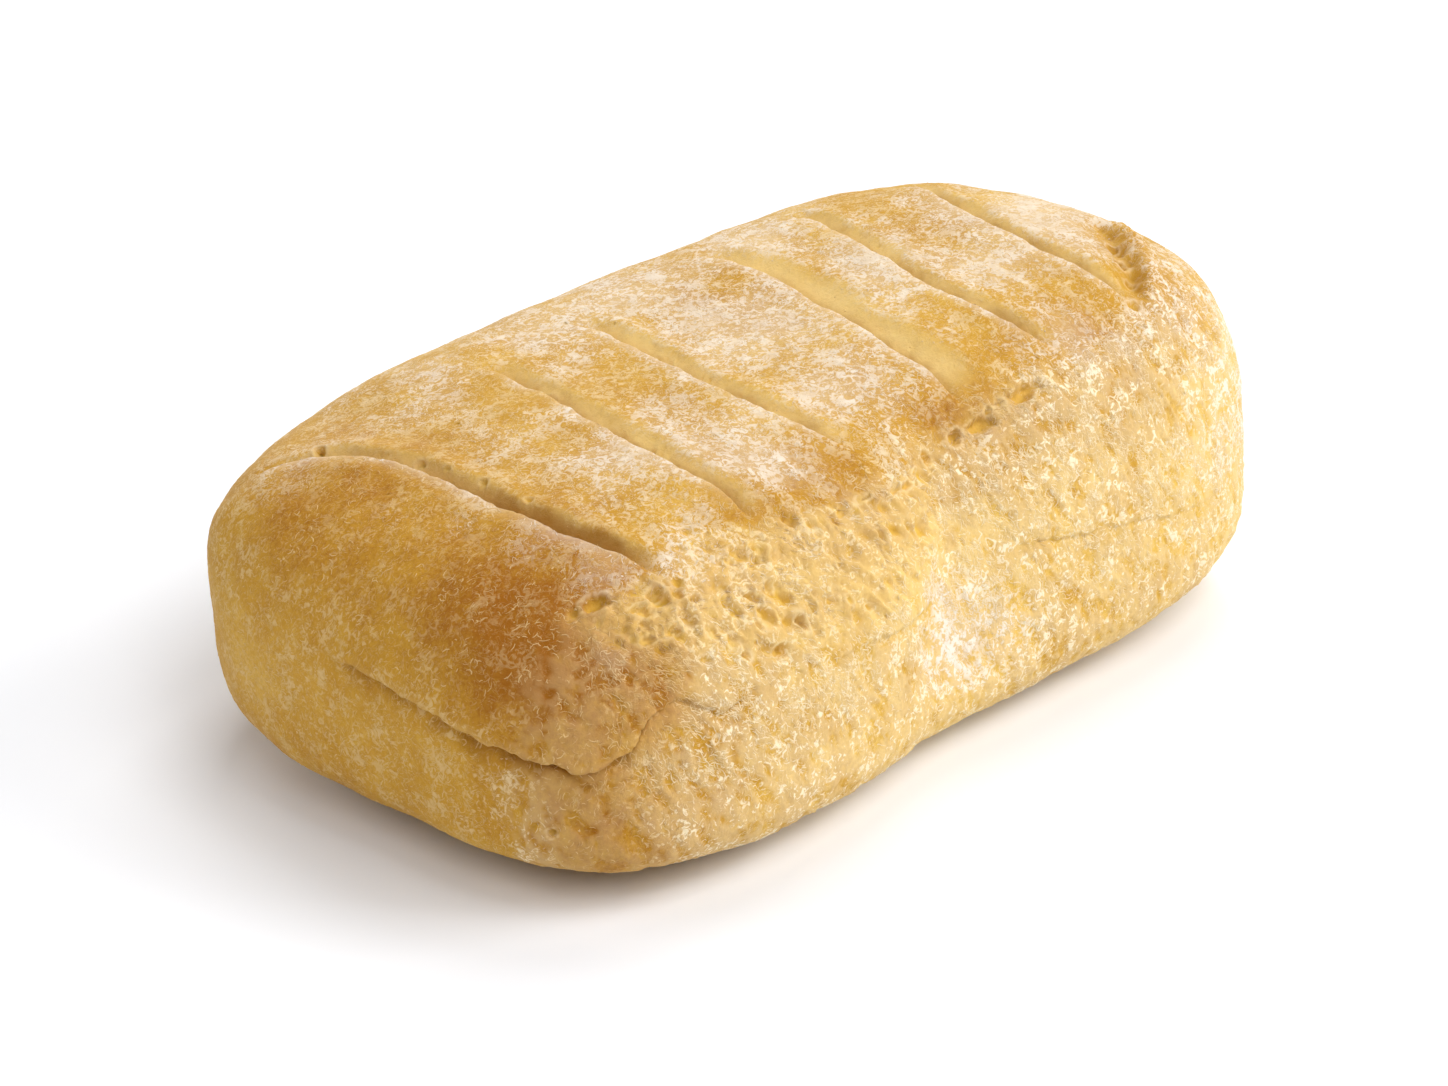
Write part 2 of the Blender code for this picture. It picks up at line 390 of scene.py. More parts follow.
def line_place(flat, line):
    """Each point's nearest place along a bent line, how far it is off to the left, and the line's length."""
    line = np.array(line)
    best = np.full(len(flat), 1e9)
    along = np.zeros(len(flat))
    off = np.zeros(len(flat))
    done = 0.0
    for start, end in zip(line[:-1], line[1:]):
        length = math.hypot(*(end - start))
        ahead = (end - start) / length
        reach = np.clip((flat - start) @ ahead, 0.0, length)
        gap = flat - start - reach[:, None] * ahead
        distance = np.hypot(gap[:, 0], gap[:, 1])
        closer = distance < best
        left = ahead[0] * gap[:, 1] - ahead[1] * gap[:, 0]
        best[closer] = distance[closer]
        along[closer] = done + reach[closer]
        off[closer] = (np.sign(left) * distance)[closer]
        done += length
    return along, off, done


# ---------------------------------------------------------------- the loaf's form


def vary_along(points):
    """Tapers, swells, bends, leans and skews the plain rounded box, as the solid's formula does."""
    x, y, z = points.T
    s = x / HALF_LENGTH
    width = 1.0 + WIDTH_TAPER * s + WIDTH_SWELL * s * s
    height = 1.0 + HEIGHT_TAPER * s + HEIGHT_SWELL * s * s
    return np.column_stack((x + SKEW * y, y * width + BEND * s * s + LEAN * (z - BELLY_HEIGHT), z * height))


def rounded_box(cube):
    """Moves points on a cube from -1 to 1 along rays from its middle to a rounded box with a flat foot.

    A ray's length is such that the sum of its parts, each as a share of the box's half size and raised to
    the power of its squareness, is one. Below the belly the box is shallower, and cut off flat.
    """
    upper = CROWN_HEIGHT - BELLY_HEIGHT
    lower = FOOT_REACH * BELLY_HEIGHT
    ray = np.tan(cube * math.pi / 4.0)
    plan = (np.abs(ray[:, 0]) ** PLAN_POWER + np.abs(ray[:, 1]) ** PLAN_POWER) ** (1.0 / PLAN_POWER)
    up = ray[:, 2]
    above = (plan**SIDE_POWER + np.abs(up) ** SIDE_POWER) ** (1.0 / SIDE_POWER)
    below = (plan**FOOT_POWER + np.abs(up * upper / lower) ** FOOT_POWER) ** (1.0 / FOOT_POWER)
    reach = np.where(up > 0.0, above, below)
    points = ray * (HALF_LENGTH, HALF_WIDTH, upper) / reach[:, None]
    points[:, 2] = np.maximum(points[:, 2] + BELLY_HEIGHT, 0.0)
    return vary_along(points)


def cube_grid(columns, rows, layers):
    """Points on a cube from -1 to 1, each shared by the sheets that meet at it, and its six sheets.

    A sheet is a table of point numbers, turned so that rows crossed with columns point outwards.
    """
    cells = np.array((columns, rows, layers))
    number = np.full(cells + 1, -1, np.int64)
    for axis in range(3):
        ends = [slice(None)] * 3
        for end in (0, -1):
            ends[axis] = end
            number[tuple(ends)] = 0
    corners = np.argwhere(number == 0)
    number[tuple(corners.T)] = np.arange(len(corners))
    sheets = []
    for axis in range(3):
        for end in (0, -1):
            sheet = np.take(number, end, axis=axis)
            outwards = (end == -1) == (axis != 1)
            sheets.append(sheet if outwards else sheet.T)
    return corners / cells * 2.0 - 1.0, sheets


def sheet_quads(sheet):
    corners = (sheet[:-1, :-1], sheet[1:, :-1], sheet[1:, 1:], sheet[:-1, 1:])
    return np.stack(corners, axis=-1).reshape(-1, 4)


def point_normals(points, quads):
    """Unit normal at each point: the crossed diagonals of the quads round it, added up."""
    a, b, c, d = points[quads.T]
    crossed = np.cross(c - a, d - b)
    total = np.column_stack(
        [sum(np.bincount(quads[:, n], crossed[:, k], len(points)) for n in range(4)) for k in range(3)]
    )
    return total / (np.linalg.norm(total, axis=1)[:, None] + 1e-12)


def around(x, y):
    """Angle round the loaf of a place seen from above."""
    return np.arctan2(y / HALF_WIDTH, x / HALF_LENGTH)


def outward(points):
    """Unit direction in plan away from the loaf's middle line."""
    out = points * (HALF_LENGTH**-2, HALF_WIDTH**-2, 0.0)
    return out / (np.linalg.norm(out, axis=1)[:, None] + 1e-9)


def pinch_waist(points, depth):
    """Draws the -Y side in along a nearly upright line, steeply on its -X side and gently on the other.

    The pinch is a bell across the line, wider and shallower towards the foot, with a fine crease along it.
    """
    _, y, z = points.T
    line_x, line_z = np.array(WAIST_LINE).T
    off_line = points[:, 0] - np.interp(z, line_z, line_x)
    off_line += 1.2 * noise(points, 16.0, 3) + 0.8 * noise(points, 6.0, 8)
    half_width = np.where(off_line < 0.0, 11.0, 17.0) + 9.0 * rise(z, 32.0, 8.0)
    side = rise(y, -30.0, -54.0)
    foot = 0.62 + 0.38 * rise(z, 12.0, 28.0)
    crease = bell(off_line / np.where(off_line < 0.0, 2.0, 5.0)) * rise(z, 27.0, 37.0) * rise(z, 60.0, 50.0)
    points[:, 1] += side * (depth * foot * bell(off_line / half_width) + 0.7 * crease)


def add_fold(points, fold, bulge, crease):
    """Makes the dough above a fold's line stand out as a rounded ledge over a narrow crease.

    The ledge rises within 1.2 mm above the line and dies away over some 9 mm. The crease under it runs out
    downwards over some 2 mm and opens into pockets. All go with the strength given along the line. Returns
    how deep in the crease and how much on the ledge's edge each point is.
    """
    line = np.array(fold)
    angle = around(line[:, 0], line[:, 1])
    here = around(points[:, 0], points[:, 1])
    first, last = angle[0], angle[-1]
    some = np.flatnonzero((here > first - FOLD_FADE) & (here < last + FOLD_FADE) & (points[:, 2] < 62.0))
    near, turn = points[some], here[some]
    wander = 0.9 * noise(near, 13.0, 5) + 0.6 * noise(near, 4.5, 6) + 0.4 * noise(near, 1.8, 9)
    over = near[:, 2] - np.interp(turn, angle, line[:, 2]) + wander
    strength = np.interp(turn, angle, line[:, 3])
    strength *= rise(turn, first - FOLD_FADE, first) * rise(turn, last + FOLD_FADE, last)
    pocket = 0.45 + 0.9 * smooth_step(0.5 + 1.6 * noise(near, 5.0, 10))
    ledge = smooth_step((over + 0.1) / 1.2) * np.exp(-np.maximum(over, 0.0) / 9.0)
    groove = np.where(over > 0.0, bell(over / 0.5), bell(over / (1.3 + 1.3 * pocket))) * pocket
    points[some] += outward(near) * (strength * (bulge * ledge - crease * groove))[:, None]
    deep, edge = np.zeros(len(points)), np.zeros(len(points))
    deep[some] = groove * strength
    edge[some] = bell((over - 1.1) / 0.7) * strength
    return deep, edge


def cut_place(points, cut, number):
    """How far each point is past a cut's lip, towards +X, and how open the cut is there, from 0 to 1."""
    crossings, (back, front), _, _, torn, _ = cut
    line = np.polyfit(CUT_STATIONS, crossings, 3)
    y = points[:, 1]
    past = points[:, 0] - np.polyval(line, np.clip(y, front - 6.0, back + 6.0))
    past += 0.45 * noise(points * (0.3, 1.0, 0.3), 9.0, 20 + number)
    past += (0.12 + 0.4 * torn) * noise(points * (0.5, 1.0, 0.5), 2.8, 30 + number)
    return past, rise(y, back, back - 12.0) * rise(y, front, front + 9.0) * rise(points[:, 2], 40.0, 50.0)


def make_cuts(points, normals, scale):
    """Opens the cuts: a rounded overhanging lip, a narrow slot under it, a floor rising to the next strip.

    The surface drops within a millimetre past the lip. The height that is left of the drop is then the
    share of the run that is left, to the power 1.7, so the floor is steep first and flat at its end. The
    strip's edge swells before the lip and is pushed over the slot. Returns how much of each point is cut
    floor, torn floor, lip, and painted shade in the crevices where the lip shades the floor behind it,
    which is darker in the deep cuts and towards -Y.
    """
    count = len(points)
    floor, torn_floor, lip, crevice_shade = (np.zeros(count) for _ in range(4))
    shift, sink = np.zeros(count), np.zeros(count)
    for number, cut in enumerate(CUTS):
        crossings, _, full_depth, reach, torn, shade_reach = cut
        x = points[:, 0]
        across = (x > min(crossings) - 32.0) & (x < max(crossings) + 3.2 * reach)
        some = np.flatnonzero(across & (points[:, 2] > 40.0))
        near = points[some]
        past, opening = cut_place(near, cut, number)
        depth = full_depth * scale
        run = reach * (0.9 + 0.25 * noise(near, 12.0, 40 + number))
        drop = smooth_step((past + 0.2) / 1.0)
        left = np.clip(1.0 - (past - 0.9) / (run - 0.9), 0.0, 1.0) ** 1.7
        swell = smooth_step((past + 24.0) / 18.0) * np.exp(np.minimum(past, 0.0) / 6.0) * (1.0 - drop)
        beyond = bell((past - run * 1.15) / (0.45 * run)) * smooth_step(past / run)
        slot = 0.45 + 0.55 * smooth_step(0.5 + 1.4 * noise(near, 7.0, 45 + number))
        slot *= bell((past - 0.8) / 0.75)
        sink[some] += opening * (depth * drop * left + 0.32 * depth * slot - 0.6 * beyond)
        sink[some] -= opening**0.5 * 1.05 * swell
        shift[some] += opening * 0.24 * depth * bell((past + 0.8) / 1.1)
        bare = opening * smooth_step(past / 0.6) * (1.0 - smooth_step((past / run - 0.5) / 0.7))
        raise_to(floor, some, bare)
        raise_to(torn_floor, some, bare * torn)
        raise_to(lip, some, opening * smooth_step((past + 2.6) / 2.2) * smooth_step((0.5 - past) / 0.7))
        # Painted shade: the floor just past the lip is darkened where the lip's shadow falls, out to the
        # given reach, more in the deep cuts and towards -Y
        uneven = 1.0 * noise(near, 6.0, 53 + number) + 0.7 * noise(near, 2.2, 60 + number)
        shade = smooth_step(past / 0.8) * smooth_step((shade_reach + uneven - past) / 1.8)
        darkening = (0.40 + 0.35 * rise(full_depth, 4.0, 6.0)) * (0.45 + 0.75 * rise(near[:, 1], 8.0, -16.0))
        raise_to(crevice_shade, some, opening * shade * darkening)
    points[:, 0] += shift
    points -= normals * sink[:, None]
    return floor, torn_floor, lip, crevice_shade


def pucker_end(points, scale):
    """Presses a bent hollow round the end of the last cut, and raises a rim with small ribs outside it.

    The hollow is a bell across its line, steep outside and gentle inside. Returns how deep in it a point is.
    """
    some = np.flatnonzero((points[:, 2] > 60.0) & (points[:, 0] > 50.0) & (points[:, 1] < 0.0))
    near = points[some]
    along, off, total = line_place(near[:, :2], PUCKER)
    off += 0.5 * noise(near, 5.0, 47)
    ends = smooth_step(along / 8.0) * smooth_step((total - along) / 5.0)
    uneven = 0.8 + 0.5 * noise(near, 3.6, 48)
    hollow = bell(off / np.where(off > 0.0, 2.0, 4.6)) * ends
    ribs = np.cos(along * math.tau / 3.1 + 3.4 * noise(near, 5.0, 49)) * bell((off - 3.6) / 2.8) * uneven
    raised = 0.9 * bell((off - 4.2) / 2.4) + 0.35 * ribs
    points[some, 2] += (ends * raised - 2.6 * uneven * hollow) * scale
    deep = np.zeros(len(points))
    deep[some] = hollow * np.clip(uneven, 0.0, 1.0)
    return deep


def torn_share(points):
    """1 inside the torn patch on the -Y side, 0 outside, with an uneven edge."""
    x, y, _ = points.T
    ragged = 1.6 * noise(points, 9.0, 41) + 1.0 * noise(points, 3.2, 42)
    under_top = smooth_step((ragged - height_over(points, TORN_TOP)) / 1.4)
    over_foot = smooth_step((ragged + height_over(points, TORN_FOOT)) / 4.0)
    return under_top * over_foot * rise(x, -92.0, -87.0) * rise(x, 6.0, 1.0) * rise(y, -34.0, -40.0)


def tear_share(points):
    """1 on the ragged tear that runs on from the torn patch towards +X, 0 off it."""
    x, y, _ = points.T
    on_line = bell(height_over(points, TEAR_LINE) / 1.6) * rise(y, -38.0, -43.0)
    return on_line * rise(x, -30.0, -22.0) * rise(x, 42.0, 34.0)


def press_pits(points, normals, scale):
    """Presses the large named pits in along the normals. Returns how far in a pit or on its rim a point is.

    A pit is an ellipse with uneven edges. It is measured in x and, up or over the skin, in y and z together.
    """
    deep, edge = np.zeros(len(points)), np.zeros(len(points))
    on_side = (points[:, 1] < -30.0) & (points[:, 2] < 70.0)
    on_top = (points[:, 2] > 50.0) & (normals[:, 2] > 0.5)
    pits = [(on_side, 2, pit) for pit in SIDE_PITS] + [(on_top, 1, pit) for pit in TOP_PITS]
    for zone, axis, (x, other, half_long, half_wide, depth, slant) in pits:
        apart = np.abs(points[:, 0] - x) + np.abs(points[:, axis] - other) + np.where(zone, 0.0, 1e3)
        middle = points[np.argmin(apart)]
        some = np.flatnonzero(apart < 3.2 * half_long + 1.0)
        near = points[some]
        wobble = 0.35 * half_wide
        beside = np.hypot(*(near - middle)[:, 1:].T) * np.sign(near[:, axis] - other)
        along, off = slanted(
            near[:, 0] - x + wobble * noise(near, 3.0, 50), beside + wobble * noise(near, 3.0, 51), slant
        )
        reach = np.hypot(along / half_long, off / half_wide) + 0.15 * noise(near, 1.5, 52)
        shape, wall = bowl(reach), rim(reach, half_wide)
        points[some] -= normals[some] * ((shape - 0.08 * wall) * depth * scale)[:, None]
        raise_to(deep, some, shape)
        raise_to(edge, some, wall)
    return deep, edge


def roughen(points, side, torn, torn_floor, floor, shape):
    """Relief of the dough itself: crests and pores where it tore, pulled wrinkles on the side, fine scales.

    Each is a height along the normal. Crests and pores on the side are drawn out along the way that the
    dough was pulled. Returns the height, and how much of each point is pore and pore rim.
    """
    bent = points + 1.1 * np.column_stack([noise(points, 5.5, 67 + n) for n in range(3)])
    height = 0.24 * fractal(points, 5.0, 2, 70) * (0.5 + 0.5 * side + 0.5 * torn)
    scales = (0.10 + 0.05 * side + 0.10 * torn) * (1.0 - 0.8 * floor + 0.8 * torn_floor)
    height += scales * crests(bent, 1.6, 68)
    pulled = stretch(bent, FIBRE, 0.28)
    height += (0.28 * side + 0.62 * torn) * crests(pulled, 3.6, 64)
    height += (0.14 * side + 0.32 * torn + 0.2 * torn_floor) * crests(pulled, 1.9, 65)
    pore, wall = np.zeros(len(points)), np.zeros(len(points))
    squeezed = stretch(bent, FIBRE, 0.40)
    # Pores: size of their cells, share of cells that have one, seed, where they are, and how strong
    kinds = (
        (4.6, 0.50, 61, torn, 1.0),
        (2.9, 0.60, 62, torn + 0.55 * torn_floor, 0.9),
        (1.9, 0.75, 63, 0.8 * torn + 0.42 * side + 0.9 * torn_floor + 0.04, 0.7),
    )
    for size, share, seed, where, strength in kinds:
        some = np.flatnonzero(where > 0.02)
        gap, radius = pores(squeezed[some], size, share, seed)
        held = np.minimum(where[some], 1.0) * strength
        hollow, edge = bowl(gap), rim(gap, radius)
        height[some] -= (0.62 * hollow - 0.16 * edge) * radius * held * shape.pore_scale
        raise_to(pore, some, hollow * held)
        raise_to(wall, some, edge * held)
    wrinkles = noise(points * (1.0, 0.22, 0.22), 3.0, 66)
    at_top_edge = bell((points[:, 1] + 41.0) / 8.0) * rise(points[:, 2], 52.0, 60.0)
    height += 0.30 * wrinkles * at_top_edge * (1.0 - floor)
    return height, pore, wall


def bake_light_and_shade_share(points, normals, torn, floor):
    """How brown, with painted shade and light in it: more on the -X end, partly as painted shade, and on the
    turn to the side, less on floors, crumb and the +X end, the last partly as painted light.
    """
    x, _, z = points.T
    up = normals[:, 2]
    turn = bell((up - 0.62) / 0.30) * rise(z, 45.0, 60.0)
    # Darker towards the -X end, partly real browning and partly painted shade where that end faces away from
    # the lights; paler at the +X end, partly painted light where the lights fall most
    browned_and_shaded_end = rise(x, -45.0, -100.0) * (0.68 + 0.32 * rise(z, 20.0, 50.0))
    pale = rise(x, 70.0, 110.0) * rise(z, 60.0, 40.0) + 0.8 * bell((x - 2.0) / 14.0) * (z < 50.0)
    bake_light_and_shade = 0.40 + 0.22 * browned_and_shaded_end + 0.08 * turn - 0.24 * pale
    bake_light_and_shade += 0.12 * fractal(points, 22.0, 4, 81) + spots(points, BAKE_LIGHT_AND_SHADE_SPOTS)
    bake_light_and_shade -= 0.14 * rise(up, 0.5, 0.2) * rise(x, -80.0, -40.0)
    return np.clip(bake_light_and_shade * (1.0 - 0.5 * floor) * (1.0 - 0.1 * torn), 0.0, 1.2)


def flour_share(points, normals, floor, pore, lip):
    """How floury: in patches on what faces up, and on the named places, but not down in the pores."""
    exposed = rise(normals[:, 2], 0.35, 0.85) * rise(points[:, 0], -92.0, -62.0)
    patchy = smooth_step(0.5 + 0.9 * fractal(points, 17.0, 4, 91))
    kept = 1.0 - np.clip(1.2 * spots(points, BAKE_LIGHT_AND_SHADE_SPOTS[:BARE_SPOTS]), 0.0, 0.9)
    flour = exposed * (0.08 + 0.22 * patchy) * kept + spots(points, FLOURED)
    flour += 0.45 * lip * smooth_step(0.6 + 1.2 * noise(points, 9.0, 95))
    return np.clip(flour * (1.0 - 0.9 * floor) * (1.0 - 0.6 * pore), 0.0, 1.0)


def crust_form(columns, rows, layers, shape):
    """The whole surface: points in millimetres, sheets, quads, and the shares that its finish reads.

    A cube's grid is blown up to the rounded box, which is then swollen, pinched, folded, cut and puckered in
    turn. Relief, which fades out towards the flat foot, and pits come last, along the normals.
    """
    cube, sheets = cube_grid(columns, rows, layers)
    quads = np.concatenate([sheet_quads(sheet) for sheet in sheets])
    points = rounded_box(cube)
    foot = points[:, 2] <= 0.0
    clear = smooth_step(points[:, 2] / 9.0)
    plain = point_normals(points, quads)
    lumps = 0.7 * noise(points, 42.0, 1) + 0.5 * noise(points, 19.0, 2) + 0.25 * noise(points, 9.0, 4)
    points += plain * ((lumps + spots(points, SWELLS)) * clear)[:, None]
    pinch_waist(points, shape.waist_depth)
    folded, ledge = np.zeros(len(points)), np.zeros(len(points))
    for fold in FOLDS:
        groove, edge = add_fold(points, fold, shape.fold_bulge, shape.fold_crease)
        folded, ledge = np.maximum(folded, groove), np.maximum(ledge, edge)
    smooth_normals = point_normals(points, quads)
    torn = torn_share(points)
    floor, torn_floor, lip, crevice_shade = make_cuts(points, smooth_normals, shape.cut_scale)
    puckered = pucker_end(points, shape.cut_scale)
    tear = tear_share(points)
    side = rise(points[:, 1], -36.0, -48.0) * rise(smooth_normals[:, 2], 0.92, 0.72)
    normals = point_normals(points, quads)
    height, pore, wall = roughen(points, side, torn, torn_floor, floor, shape)
    points += normals * ((height - 0.8 * torn - 0.6 * tear) * clear)[:, None]
    deep, edge = press_pits(points, normals, shape.pit_scale)
    points[foot, 2] = 0.0
    points[:, 2] = np.maximum(points[:, 2], 0.0)
    on_end = points[:, 0] < -60.0
    # Pore colour also goes into the fold grooves off the -X end and the puckered hollow: painted shade there,
    # beside the real pores and pits
    pore = np.clip(np.maximum.reduce((pore, deep, 0.8 * puckered, 1.6 * folded * ~on_end)), 0.0, 1.0)
    shares = {
        "torn": np.maximum(torn, 0.6 * tear),
        "floor": floor,
        "side": side,
        "pore": pore,
        # Rims of pits and pores, cut lips and fold ledges' edges: partly pale crumb and flour, partly painted
        # highlight
        "rim": np.clip(np.maximum.reduce((0.45 * wall, 0.7 * edge, 0.4 * lip, 0.3 * ledge)), 0.0, 1.0),
        # Crease colour is painted shade: the lips' shadow in the cut crevices and the shade in the fold
        # grooves on the -X end
        "crease": np.clip(np.maximum(crevice_shade, 0.8 * folded * on_end), 0.0, 1.0),
        # From the height of the surface: the finish paints crests paler and hollows darker, as painted light
        # and shade
        "relief_shading": smooth_step(0.5 + height / 0.9),
        # More browning in the puckered hollow: painted shade
        "bake_light_and_shade": bake_light_and_shade_share(points, smooth_normals, torn, floor) + 0.35 * puckered,
        "flour": flour_share(points, smooth_normals, floor, pore, lip),
    }
    return points, sheets, quads, shares


# ---------------------------------------------------------------- small things on the crust


class Skin:
    """The finished crust as sheets of points, with places on it given by sheet, row and column."""

    def __init__(self, points, normals, sheets, shares):
        self.points = points
        self.normals = normals
        self.shares = shares
        self.flat = np.concatenate([sheet.ravel() for sheet in sheets])
        self.sizes = np.array([sheet.shape for sheet in sheets])
        self.starts = np.concatenate(([0], np.cumsum(self.sizes.prod(axis=1))[:-1]))
        self.corner = np.concatenate([sheet[:-1, :-1].ravel() for sheet in sheets])
        quads = np.concatenate([sheet_quads(sheet) for sheet in sheets])
        a, b, c, d = points[quads.T]
        self.area = np.linalg.norm(np.cross(c - a, d - b), axis=1)
        cells = (self.sizes - 1).prod(axis=1)
        self.sheet = np.repeat(np.arange(len(sheets)), cells)
        self.cell = np.concatenate([np.arange(count) for count in cells])

    def pick(self, weight, count, draw):
        """Random places: as many on each unit of area as the weight of its points says."""
        total = np.cumsum(self.area * weight[self.corner])
        chosen = np.searchsorted(total, draw.random(count) * total[-1])
        sheet = self.sheet[chosen]
        wide = self.sizes[sheet, 1] - 1
        row = self.cell[chosen] // wide + draw.random(count)
        column = self.cell[chosen] % wide + draw.random(count)
        return sheet, row, column

    def at(self, values, place):
        """Values at places between points, mixed from the four points round each."""
        sheet, row, column = place
        row = np.clip(row, 0.0, self.sizes[sheet, 0] - 1.001)
        column = np.clip(column, 0.0, self.sizes[sheet, 1] - 1.001)
        low_row, low_column = row.astype(int), column.astype(int)
        total = 0.0
        for down in (0, 1):
            for over in (0, 1):
                share = np.abs(1 - down - (row - low_row)) * np.abs(1 - over - (column - low_column))
                step = (low_row + down) * self.sizes[sheet, 1] + low_column + over
                value = values[self.flat[self.starts[sheet] + step]]
                total = total + value * (share if value.ndim == 1 else share[:, None])
        return total

    def cover(self, place, light):
        """Shares for small things laid at places. Light has a row for each thing, and is its points' rim;
        along a strand's top it is greatest, as painted highlight.
        """
        shares = {name: self.at(self.shares[name], place) for name in ("bake_light_and_shade", "flour", "side")}
        shares["relief_shading"] = np.full(len(light), 0.6)
        shares = {name: np.repeat(share, light.shape[1]) for name, share in shares.items()}
        return shares | {"rim": light.ravel()}

    def axes(self, place):
        """Outward normal, two directions along the skin, and what turns millimetres into rows and columns.

        The last three are a row's length, a column's width across it, and how much a column leans along it.
        """
        sheet, row, column = place
        here = self.at(self.points, place)
        down = self.at(self.points, (sheet, row + 1.0, column)) - here
        over = self.at(self.points, (sheet, row, column + 1.0)) - here
        normal = self.at(self.normals, place)
        normal /= np.linalg.norm(normal, axis=1)[:, None]
        first = down / (np.linalg.norm(down, axis=1)[:, None] + 1e-6)
        second = np.cross(normal, first)
        step = np.linalg.norm(down, axis=1) + 1e-6
        wide = np.einsum("ij,ij->i", over, second)
        wide = np.where(np.abs(wide) < 0.1, 0.1, wide)
        slant = np.einsum("ij,ij->i", over, first) / wide
        return normal, first, second, step, wide, slant


STRAND_STEPS = 5


def strand_mesh(skin, weight, count, length, width, curl, pull, seed):
    """Thin curled strands on the skin: each is a three-sided prism along an arc, pointed at both ends.

    The arc turns by between a third of curl and curl, either way, along its length. Its middle stands off
    the skin and its ends dip into it. Lengths are drawn between half and one and a half times the given one,
    and widths between 0.6 and 1.4 times. Pull, from 0 to 1, lines the strands up with the way that the dough
    was pulled. A strand that would be drawn out by the seam between two sheets is left out.
    """
    draw = np.random.default_rng(seed)
    place = skin.pick(weight, count, draw)
    normal, first, second, step, wide, slant = skin.axes(place)
    along = FIBRE - normal * (normal @ FIBRE)[:, None]
    heading = np.arctan2(np.einsum("ij,ij->i", along, second), np.einsum("ij,ij->i", along, first))
    heading += (draw.random(count) - 0.5) * math.tau * (1.0 - pull)
    turn = curl * (1.0 + 2.0 * draw.random(count)) / 3.0 * np.where(draw.random(count) < 0.5, -1.0, 1.0)
    reach = length * (0.5 + draw.random(count) ** 1.5)
    thick = width * (0.6 + 0.8 * draw.random(count))
    corners = []
    for n in range(STRAND_STEPS):
        s = n / (STRAND_STEPS - 1) - 0.5
        bent = heading + turn * s
        ahead = reach * (np.sin(turn * s) / turn)
        aside = reach * ((1.0 - np.cos(turn * s)) / turn)
        a = np.cos(heading) * ahead - np.sin(heading) * aside
        b = np.sin(heading) * ahead + np.cos(heading) * aside
        spot = (place[0], place[1] + (a - b / wide * slant) / step, place[2] + b / wide)
        out = skin.at(skin.normals, spot)
        lift = 1.0 - (2.0 * s) ** 2
        centre = skin.at(skin.points, spot) + out * (0.12 * thick * (lift - 0.5))[:, None]
        if 0 < n < STRAND_STEPS - 1:
            across = np.cross(out, np.cos(bent)[:, None] * first + np.sin(bent)[:, None] * second)
            half = (0.5 * thick * (0.55 + 0.45 * lift))[:, None]
            low = centre - out * (0.08 * thick)[:, None]
            corners += [low - across * half, low + across * half, centre + out * 0.26 * half]
        else:
            corners.append(centre - out * (0.10 * thick)[:, None])
    corners = np.stack(corners, axis=1)
    sound = np.linalg.norm(corners[:, -1] - corners[:, 0], axis=1) < 1.2 * reach
    corners, place, count = corners[sound], tuple(part[sound] for part in place), int(sound.sum())
    size = corners.shape[1]
    faces = [(0, 1 + (k + 1) % 3, 1 + k) for k in range(3)]
    for n in range(STRAND_STEPS - 3):
        for k in range(3):
            a, b = 1 + 3 * n + k, 1 + 3 * n + (k + 1) % 3
            faces += [(a, b, b + 3), (a, b + 3, a + 3)]
    faces += [(size - 1, size - 4 + k, size - 4 + (k + 1) % 3) for k in range(3)]
    faces = (np.arange(count)[:, None, None] * size + np.array(faces)).reshape(-1, 3)
    corners[:, :, 2] = np.maximum(corners[:, :, 2], 0.0)
    # Each strand's top is painted paler and its base golden: painted highlight on top and painted warm shade
    # along its sides
    crest_highlight = np.array([0.4] + [0.3, 0.3, 1.2] * (STRAND_STEPS - 2) + [0.4])
    light = (0.35 + 0.65 * draw.random(count))[:, None] * crest_highlight
    return corners.reshape(-1, 3), faces, skin.cover(place, light)


GRAIN_SIDES = 4


def grain_mesh(skin, weight, count, size, seed):
    """Small flat lumps, half sunk in the skin: each is a four-sided double pyramid with uneven corners."""
    draw = np.random.default_rng(seed)
    place = skin.pick(weight, count, draw)
    normal, first, second = skin.axes(place)[:3]
    centre = skin.at(skin.points, place)
    radius = size * (0.35 + draw.random(count) ** 2)
    spin = draw.random(count) * math.tau
    corners = []
    for k in range(GRAIN_SIDES):
        angle = spin + k * math.tau / GRAIN_SIDES
        reach = radius * (0.6 + 0.8 * draw.random(count))
        flat = np.cos(angle)[:, None] * first + np.sin(angle)[:, None] * second
        corners.append(centre + flat * reach[:, None])
    corners.append(centre + normal * (0.4 * radius)[:, None])
    corners.append(centre - normal * (0.4 * radius)[:, None])
    corners = np.stack(corners, axis=1)
    corners[:, :, 2] = np.maximum(corners[:, :, 2], 0.0)
    faces = []
    for k in range(GRAIN_SIDES):
        after = (k + 1) % GRAIN_SIDES
        faces += [(k, after, GRAIN_SIDES), (after, k, GRAIN_SIDES + 1)]
    faces = (np.arange(count)[:, None, None] * (GRAIN_SIDES + 2) + np.array(faces)).reshape(-1, 3)
    light = (0.6 + 0.4 * draw.random(count))[:, None] * np.ones(GRAIN_SIDES + 2)
    return corners.reshape(-1, 3), faces, skin.cover(place, light)


# ---------------------------------------------------------------- meshes


def link_piece(mesh, name, material):
    piece = bpy.data.objects.new(name, mesh)
    bpy.context.scene.collection.objects.link(piece)
    mesh.materials.append(material)
    return piece


